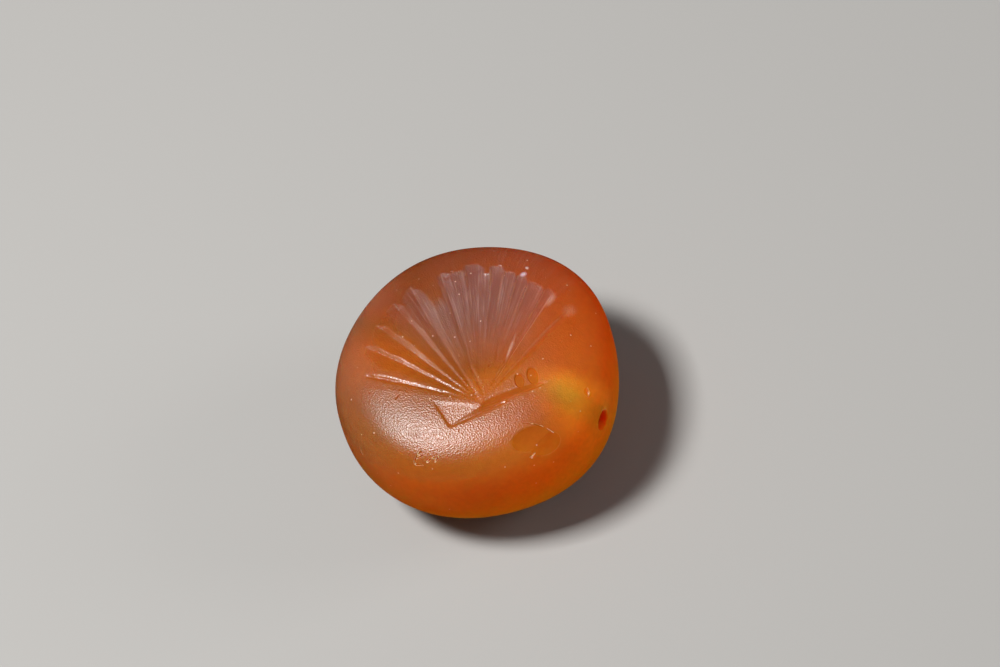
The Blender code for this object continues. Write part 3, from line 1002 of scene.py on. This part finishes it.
level = add_node(
    tree, "ShaderNodeVectorMath", {0: place, 1: FROST_WAY}, operation="DOT_PRODUCT"
).outputs["Value"]
frost = add_node(
    tree,
    "ShaderNodeMapRange",
    {"Value": level, "From Min": FROST_FROM, "From Max": FROST_FULL},
    interpolation_type="SMOOTHSTEP",
).outputs["Result"]
cut_depth = add_node(tree, "ShaderNodeAttribute", attribute_name="cut_depth").outputs["Fac"]
deep_cut = add_node(
    tree,
    "ShaderNodeMapRange",
    {"Value": cut_depth, "From Min": CLEAR_CUT_FROM, "From Max": CLEAR_CUT_FULL},
).outputs["Result"]
in_corner = soft_spot(*SUNK_CORNER)
clear_cut = add_node(
    tree, "ShaderNodeMapRange", {"Value": in_corner, "To Min": deep_cut, "To Max": 0}
).outputs["Result"]
print("frosted above", round(FROST_FULL * PER_METRE, 1), "mm")

# %% Where the fan is, and where it is worn
FAN_PLACE = ((-0.15, 0.6, 8.6), (8.2, 6.8, 3.5), 0, 1.5)
FAN_HALF_TURN = math.radians(60)
WORN_FAN = ((1.8, 2.2, 8.6), (6.0, 6.0, 3.0), 0, 1.6)  # the middle and right of the fan are duller

fan_middle = Vector((*FAN_ROOT, 0)) / PER_METRE
from_fan_root = add_node(
    tree, "ShaderNodeVectorMath", {0: place, 1: fan_middle}, operation="SUBTRACT"
).outputs["Vector"]
fan_sides = add_node(tree, "ShaderNodeSeparateXYZ", {"Vector": from_fan_root}).outputs
fan_bearing = add_node(
    tree, "ShaderNodeMath", {0: fan_sides["Y"], 1: fan_sides["X"]}, operation="ARCTAN2"
).outputs["Value"]
fan_ahead = add_node(
    tree, "ShaderNodeMath", {0: fan_bearing, 1: math.radians(90), 2: FAN_HALF_TURN}, operation="COMPARE"
).outputs["Value"]
in_fan = add_node(
    tree,
    "ShaderNodeMath",
    {0: soft_spot(*FAN_PLACE), 1: fan_ahead},
    operation="MULTIPLY",
    use_clamp=True,
).outputs["Value"]
worn = soft_spot(*WORN_FAN)
print("the fan spreads", round(math.degrees(FAN_HALF_TURN)), "degrees to each side")

# %% The lines that the wheels left in the fan
LINE_SPACING = 0.11  # millimetres between wheel lines
SPACED_AT = 7  # millimetres from the root, where they are that far apart
LINES_PER_TURN = round(math.tau * SPACED_AT / LINE_SPACING)
LINE_LENGTH = 2.5 / PER_METRE

line_turn = add_node(
    tree, "ShaderNodeMath", {0: fan_bearing, 1: LINES_PER_TURN / math.tau}, operation="MULTIPLY"
).outputs["Value"]
line_way = add_node(
    tree, "ShaderNodeMath", {0: fan_sides["Y"], 1: 1 / LINE_LENGTH}, operation="MULTIPLY"
).outputs["Value"]
line_place = add_node(tree, "ShaderNodeCombineXYZ", {"X": line_turn, "Y": line_way}).outputs["Vector"]
wheel_lines = add_node(
    tree, "ShaderNodeTexNoise", {"Vector": line_place, "Scale": 1, "Detail": 2, "Roughness": 0.6}
).outputs["Fac"]
print(LINES_PER_TURN, "wheel lines, if they went all the way round")

# %% Grit pits and wheel lines, as bumps
GRIT_SIZE = 0.08 / PER_METRE  # real pits are about 0.02 mm, too fine to show, so these are coarser
GRIT_DEPTH = 0.0145 / PER_METRE
GRIT_ON_SIDES = 0.1  # share of the depth
GRIT_IN_FAN = 0.8
GRIT_IN_CUTS = 0.15
LINE_DEPTH = 0.03 / PER_METRE

grit = add_node(
    tree, "ShaderNodeTexVoronoi", {"Vector": place, "Scale": 1 / GRIT_SIZE}
).outputs["Distance"]
frost_strength = add_node(
    tree, "ShaderNodeMapRange", {"Value": frost, "To Min": GRIT_ON_SIDES, "To Max": 1}
).outputs["Result"]
open_share = add_node(
    tree, "ShaderNodeMapRange", {"Value": clear_cut, "To Min": 1, "To Max": GRIT_IN_CUTS}
).outputs["Result"]
grit_share = add_node(
    tree, "ShaderNodeMapRange", {"Value": in_fan, "To Min": open_share, "To Max": GRIT_IN_FAN}
).outputs["Result"]
grit_strength = add_node(
    tree, "ShaderNodeMath", {0: frost_strength, 1: grit_share}, operation="MULTIPLY"
).outputs["Value"]
line_strength = add_node(
    tree, "ShaderNodeMath", {0: in_fan, 1: worn}, operation="MULTIPLY", use_clamp=True
).outputs["Value"]
grit_bump = add_node(
    tree, "ShaderNodeBump", {"Height": grit, "Strength": grit_strength, "Distance": GRIT_DEPTH}
).outputs["Normal"]
line_bump = add_node(
    tree,
    "ShaderNodeBump",
    {"Height": wheel_lines, "Strength": line_strength, "Distance": LINE_DEPTH, "Normal": grit_bump},
).outputs["Normal"]
print("grit pits", round(GRIT_SIZE * PER_METRE, 2), "mm across")

# %% [markdown]
# ## Pale cuts, with painted sheen, shade and glints
# A painted mauve sheen lies in the flutes of the middle and right of the fan, for the haze that their
# frosted floors reflect, streaked as the wheel lines run, and painted shade darkens the sunk corner. The
# steep walls of every cut are a little paler than the stone beside them, except in the cups, which a drill
# polishes. Scratches are palest, because they crushed the stone and were never worn. A few pale dots are
# painted glints, the sparkle of single tiny facets.

# %% Painted sheen in the fan, and its streaks
# Painted sheen: a mauve haze mixed into the colour of the flutes where they are sunk.
SHEEN_PLACE = ((1.6, 3.5, 8.6), (6.6, 5.4, 3.0), 0, 0.6)
SHEEN_TONE = "#5E4440"
SHEEN_FROM = 0.01  # mm of depth
SHEEN_FULL = 0.06
STREAK_TONE = "#C0A098"
STREAK_SHARE = 0.35
STREAK_FROM = 0.5  # of the noise that draws the wheel lines
STREAK_FULL = 0.7

sunk = add_node(
    tree, "ShaderNodeMapRange", {"Value": cut_depth, "From Min": SHEEN_FROM, "From Max": SHEEN_FULL}
).outputs["Result"]
painted_sheen = add_node(
    tree, "ShaderNodeMath", {0: sunk, 1: soft_spot(*SHEEN_PLACE)}, operation="MULTIPLY"
).outputs["Value"]
colour = add_node(
    tree, "ShaderNodeMix", {0: painted_sheen, 6: colour, 7: to_linear(SHEEN_TONE)}, data_type="RGBA"
).outputs[2]
streaks = add_node(
    tree,
    "ShaderNodeMapRange",
    {"Value": wheel_lines, "From Min": STREAK_FROM, "From Max": STREAK_FULL, "To Max": STREAK_SHARE},
).outputs["Result"]
streaks = add_node(tree, "ShaderNodeMath", {0: streaks, 1: painted_sheen}, operation="MULTIPLY").outputs["Value"]
colour = add_node(
    tree, "ShaderNodeMix", {0: streaks, 6: colour, 7: to_linear(STREAK_TONE)}, data_type="RGBA"
).outputs[2]
print("bloom from", SHEEN_FROM, "mm deep")

# %% Painted shade in the sunk corner
# Painted shade: the floor of the sunk corner is painted darker brown.
CORNER_SHADE_TONE = "#84460E"
CORNER_SHADE_SHARE = 0.5

corner_shade = add_node(
    tree, "ShaderNodeMath", {0: deep_cut, 1: in_corner}, operation="MULTIPLY", use_clamp=True
).outputs["Value"]
corner_shade = add_node(tree, "ShaderNodeMath", {0: corner_shade, 1: CORNER_SHADE_SHARE}, operation="MULTIPLY").outputs["Value"]
colour = add_node(
    tree, "ShaderNodeMix", {0: corner_shade, 6: colour, 7: to_linear(CORNER_SHADE_TONE)}, data_type="RGBA"
).outputs[2]
print("earth covers", CORNER_SHADE_SHARE, "of the corner's colour")

# %% Walls are a little pale and scratches are palest
WALL_TONE = "#D8A080"
WALL_SHARE = 0.16
SCRATCHED_FROM = -0.7 / PER_METRE  # below the root of the fan, towards the near side
SCRATCHED_FULL = -1.0 / PER_METRE
SCRATCH_TONE = "#F6D2B6"
SCRATCH_SHARE = 0.9

scratched = add_node(
    tree,
    "ShaderNodeMapRange",
    {"Value": fan_sides["Y"], "From Min": SCRATCHED_FROM, "From Max": SCRATCHED_FULL},
).outputs["Result"]
wall_share = add_node(
    tree, "ShaderNodeMapRange", {"Value": scratched, "To Min": WALL_SHARE, "To Max": SCRATCH_SHARE}
).outputs["Result"]
wall_tone = add_node(
    tree,
    "ShaderNodeMix",
    {0: scratched, 6: to_linear(WALL_TONE), 7: to_linear(SCRATCH_TONE)},
    data_type="RGBA",
).outputs[2]
print("a wall is paler by", WALL_SHARE, "and a scratch by", SCRATCH_SHARE)

# %% The steep walls of the cuts
WALL_FROM = math.radians(24)
WALL_FULL = math.radians(45)
CLEAR_CUPS = ((2.4, -3.3, 8.65), (1.2, 0.9, 1.0), 0, 3)

cut_slope = add_node(tree, "ShaderNodeAttribute", attribute_name="cut_slope").outputs["Fac"]
for clear_place in (soft_spot(*CLEAR_CUPS), in_corner):
    wall_share = add_node(
        tree, "ShaderNodeMapRange", {"Value": clear_place, "To Min": wall_share, "To Max": 0}
    ).outputs["Result"]
wall = add_node(
    tree,
    "ShaderNodeMapRange",
    {"Value": cut_slope, "From Min": WALL_FROM, "From Max": WALL_FULL, "To Max": wall_share},
).outputs["Result"]
colour = add_node(
    tree, "ShaderNodeMix", {0: wall, 6: colour, 7: wall_tone}, data_type="RGBA"
).outputs[2]
print("walls are paler from", round(math.degrees(WALL_FROM)), "degrees")

# %% Pale specks, painted glints
# Painted glints: pale dots for the sparkle of single tiny facets.
SPECK_SPACING = 0.7 / PER_METRE
SPECK_REACH = 0.075  # share of the spacing
SPECK_SHARE = 0.5
SPECK_TONE = "#F0D0C0"

speck_far = add_node(
    tree, "ShaderNodeTexVoronoi", {"Vector": place, "Scale": 1 / SPECK_SPACING}
).outputs["Distance"]
glint_speck = add_node(
    tree,
    "ShaderNodeMapRange",
    {
        "Value": speck_far,
        "From Min": SPECK_REACH / 2,
        "From Max": SPECK_REACH,
        "To Min": SPECK_SHARE,
        "To Max": 0,
    },
).outputs["Result"]
colour = add_node(
    tree, "ShaderNodeMix", {0: glint_speck, 6: colour, 7: to_linear(SPECK_TONE)}, data_type="RGBA"
).outputs[2]
print("bruises every", round(SPECK_SPACING * PER_METRE, 1), "mm")

# %% [markdown]
# ## Gloss, and how deep light goes
# The frosted skin scatters part of the light before it can enter, so on the face only part of the shading
# is subsurface, while beside the string hole all of it is. Under the skin red light crosses the whole
# stone, but it goes less deep beside the hole, and least at the hole's mouth.

# %% Gloss
FACE_ROUGHNESS = 0.34
SIDE_ROUGHNESS = 0.45
CUT_ROUGHNESS = 0.22
FAN_ROUGHNESS = 0.25
WORN_ROUGHNESS = 0.42
GLINT = ((5.29, -4.49, 7.6), (0.35, 0.35, 0.5), 0, 1)  # the fresh pit beside the string hole shines
GLINT_ROUGHNESS = 0.1

open_roughness = add_node(
    tree, "ShaderNodeMapRange", {"Value": frost, "To Min": SIDE_ROUGHNESS, "To Max": FACE_ROUGHNESS}
).outputs["Result"]
open_roughness = add_node(
    tree, "ShaderNodeMapRange", {"Value": clear_cut, "To Min": open_roughness, "To Max": CUT_ROUGHNESS}
).outputs["Result"]
fan_roughness = add_node(
    tree, "ShaderNodeMapRange", {"Value": worn, "To Min": FAN_ROUGHNESS, "To Max": WORN_ROUGHNESS}
).outputs["Result"]
roughness = add_node(
    tree, "ShaderNodeMapRange", {"Value": in_fan, "To Min": open_roughness, "To Max": fan_roughness}
).outputs["Result"]
glint = soft_spot(*GLINT)
roughness = add_node(
    tree, "ShaderNodeMapRange", {"Value": glint, "To Min": roughness, "To Max": GLINT_ROUGHNESS}
).outputs["Result"]
print("roughness", FACE_ROUGHNESS, "on the face and", SIDE_ROUGHNESS, "on the sides")

# %% How deep light goes
RED_REACH = 0.04  # in metres: red light crosses the whole stone
BY_THE_HOLE = ((5.1, -5.4, 6.4), (2.4, 2.4, 2.4), 0, 1)
REACH_BY_THE_HOLE = 0.015
MOUTH = ((5.5, -4.95, 5.56), (1.7, 1.7, 1.5), 0, 1.3)
REACH_AT_MOUTH = 0.003
DEEP_ON_FACE = 0.5  # share of the shading that is subsurface
DEEP_BY_THE_HOLE = ((4.4, -4.9, 7.4), (3.4, 2.4, 3.0), -42, 1.4)

by_the_hole = soft_spot(*BY_THE_HOLE)
reach = add_node(
    tree, "ShaderNodeMapRange", {"Value": by_the_hole, "To Min": RED_REACH, "To Max": REACH_BY_THE_HOLE}
).outputs["Result"]
mouth = soft_spot(*MOUTH)
reach = add_node(
    tree, "ShaderNodeMapRange", {"Value": mouth, "To Min": reach, "To Max": REACH_AT_MOUTH}
).outputs["Result"]
deep_share = add_node(
    tree, "ShaderNodeMapRange", {"Value": frost, "To Min": 1, "To Max": DEEP_ON_FACE}
).outputs["Result"]
all_deep = soft_spot(*DEEP_BY_THE_HOLE)
deep_share = add_node(
    tree, "ShaderNodeMapRange", {"Value": all_deep, "To Min": deep_share, "To Max": 1}
).outputs["Result"]
print("red light goes", RED_REACH, "m deep, and", REACH_AT_MOUTH, "m at the hole's mouth")

# %% Finish the stone
QUARTZ_IOR = 1.54
SPECULAR_LEVEL = 0.48
REACH_SHARES = (1.0, 0.2, 0.06)  # of red, green and blue light

tree.links.new(colour, shader.inputs["Base Color"])
tree.links.new(roughness, shader.inputs["Roughness"])
tree.links.new(line_bump, shader.inputs["Normal"])
tree.links.new(deep_share, shader.inputs["Subsurface Weight"])
tree.links.new(reach, shader.inputs["Subsurface Scale"])
shader.inputs["Subsurface Radius"].default_value = REACH_SHARES
shader.inputs["IOR"].default_value = QUARTZ_IOR
shader.inputs["Specular IOR Level"].default_value = SPECULAR_LEVEL
stone.data.materials.clear()
stone.data.materials.append(carnelian)
print(len(tree.nodes), "nodes in the carnelian")

# %% [markdown]
# ## Floor
# The stone lies on a plain pale sheet of matt paper, whose fibres scatter light all ways, so that it looks
# even from every side. It is kept out of reflections, so that the stone's dark gloss stays clear.

# %% Floor
FLOOR_WIDTH = 1.2  # metres, so that no edge comes into any view
PAPER_TONE = "#93918E"
PAPER_ROUGHNESS = 0.9

start_fresh()
bpy.ops.mesh.primitive_plane_add(size=FLOOR_WIDTH)
floor = bpy.context.object
floor.name = "pale_floor"
# Matt paper: no gloss to speak of.
paper = bpy.data.materials.new("pale_paper")
paper.use_nodes = True
paper_inputs = paper.node_tree.nodes["Principled BSDF"].inputs
paper_inputs["Base Color"].default_value = to_linear(PAPER_TONE)
paper_inputs["Roughness"].default_value = PAPER_ROUGHNESS
floor.data.materials.append(paper)
floor.visible_glossy = False
print("floor", FLOOR_WIDTH, "m wide")

# %% [markdown]
# ## Light
# One small soft light stands high on the left, and its reflection is the bright patch on the near
# shoulder. A weaker one low on the right fills the shade and makes the amber glow on that side. It gives
# no reflection of its own, and neither does the faint even light of the room.

# %% A soft light
LIGHT_DISTANCE = 0.25  # metres


def soft_light(name, direction, size, power):
    """A square light that faces the stone from a direction."""
    start_fresh()
    target = Vector((0, 0, stone_high.z / 2))
    bpy.ops.object.light_add(type="AREA", location=target + Vector(direction).normalized() * LIGHT_DISTANCE)
    light = bpy.context.object
    light.name = name
    light.rotation_euler = Vector(direction).to_track_quat("Z", "Y").to_euler()
    light.data.size = size
    light.data.energy = power
    return light


print("lights stand", LIGHT_DISTANCE, "m from the stone")

# %% Two lights and a faint room
KEY_DIRECTION = (-0.40, 0.0, 0.92)
KEY_SIZE = 0.06
KEY_POWER = 1.1  # watts
FILL_DIRECTION = (0.8, -0.1, 0.35)
FILL_SIZE = 0.10
FILL_POWER = 0.18
ROOM_STRENGTH = 0.1
WHITE = (1, 1, 1, 1)

soft_light("key_light", KEY_DIRECTION, KEY_SIZE, KEY_POWER)
fill = soft_light("fill_light", FILL_DIRECTION, FILL_SIZE, FILL_POWER)
fill.visible_glossy = False
room = bpy.data.worlds.new("studio")
bpy.context.scene.world = room
room.use_nodes = True
room.cycles_visibility.glossy = False
room_inputs = room.node_tree.nodes["Background"].inputs
room_inputs["Color"].default_value = WHITE
room_inputs["Strength"].default_value = ROOM_STRENGTH
bpy.context.scene.view_settings.view_transform = "Standard"
print("key", KEY_POWER, "W, fill", FILL_POWER, "W")

# %% [markdown]
# ## Camera
# A long lens looks steeply down on the face from the near side, and is turned a little about its own axis,
# so that the foot of the fan slopes in the view as it does when the stone is held in the hand.

# %% Camera
ELEVATION = math.radians(54)
ROLL = math.radians(17)
LENS = 165  # mm
SENSOR = 36  # mm
DISTANCE = 0.2429  # metres
NEAREST = 0.01  # metres: nothing closer is drawn
STONE_PLACE = Vector((-0.10, 0.13, 4.78)) / PER_METRE
RIGHT_SHIFT = 1.19 / PER_METRE  # in its own view, the camera stands this far to the right of that place
UP_SHIFT = 2.62 / PER_METRE  # and this far above it

flat_right = Vector((1, 0, 0))
flat_up = Vector((0, math.sin(ELEVATION), math.cos(ELEVATION)))
back = Vector((0, -math.cos(ELEVATION), math.sin(ELEVATION)))
right = flat_right * math.cos(ROLL) - flat_up * math.sin(ROLL)
up = flat_right * math.sin(ROLL) + flat_up * math.cos(ROLL)
start_fresh()
bpy.ops.object.camera_add(location=STONE_PLACE + back * DISTANCE + right * RIGHT_SHIFT + up * UP_SHIFT)
camera = bpy.context.object
camera.rotation_euler = Matrix((right, up, back)).transposed().to_euler()
camera.data.lens = LENS
camera.data.sensor_width = SENSOR
camera.data.clip_start = NEAREST
bpy.context.scene.camera = camera
print("camera", round(PER_METRE * (camera.location - STONE_PLACE).length), "mm from the stone")
